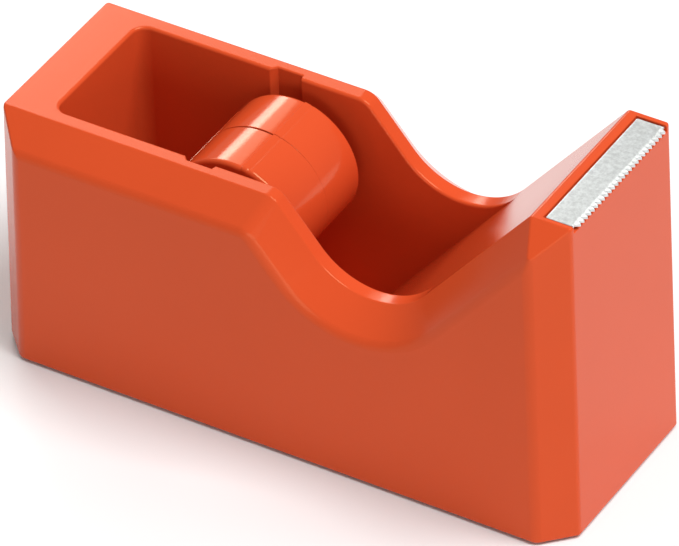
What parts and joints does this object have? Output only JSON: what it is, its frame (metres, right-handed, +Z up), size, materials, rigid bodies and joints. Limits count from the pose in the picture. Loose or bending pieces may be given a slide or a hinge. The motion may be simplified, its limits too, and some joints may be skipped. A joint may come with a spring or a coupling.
{
  "type": "tape dispenser",
  "caption": "Weighted desktop tape dispenser with a faceted one-piece body, a lift-out spinning hub for a small tape roll and a serrated steel cutter.",
  "frame": {"origin": "centre of the footprint on the desk surface, directly below the middle of the body", "axes": "+X along the body from the tape bay towards the cutter, +Y across the body, +Z up"},
  "size_m": [0.115, 0.0454, 0.0658],
  "materials": {
    "shell": "satin gloss moulded coral-orange plastic",
    "hub": "smooth gloss moulded coral-orange plastic",
    "base": "fine matte moulded orange plastic",
    "blade": "bright rolled steel with fine grain",
    "pin": "ground bright steel",
    "screw": "zinc plated",
    "ballast": "raw mill surface",
    "foot": "matte black rubber",
    "foam": "closed-cell foam",
    "bond_tape": "double-sided adhesive strip"
  },
  "bodies": {
    "housing": {"body_shell": "shell", "cutter_blade": "blade", "blade_bond_strip": "bond_tape", "base_plate": "base", "foot_front_near": "foot", "foot_front_far": "foot", "foot_rear_near": "foot", "foot_rear_far": "foot", "base_screw_front_near": "screw", "base_screw_front_far": "screw", "base_screw_rear_near": "screw", "base_screw_rear_far": "screw", "ballast_front_block": "ballast", "ballast_foam_pad": "foam", "ballast_side_near": "ballast", "ballast_side_far": "ballast", "ballast_floor_plate": "ballast"},
    "axle": {"hub_pin": "pin"},
    "hub": {"hub_half_near": "hub", "hub_half_far": "hub"}
  },
  "joints": [
    {"name": "hub_lift_out", "type": "slide", "parent": "housing", "child": "axle", "axis": [-0.2807, 0, 0.9598], "range_m": [0, 0.032]},
    {"name": "hub_spin", "type": "hinge", "parent": "axle", "child": "hub", "pos_m": [-0.0143, 0, 0.03705], "axis": [0, 1, 0], "continuous": true}
  ]
}
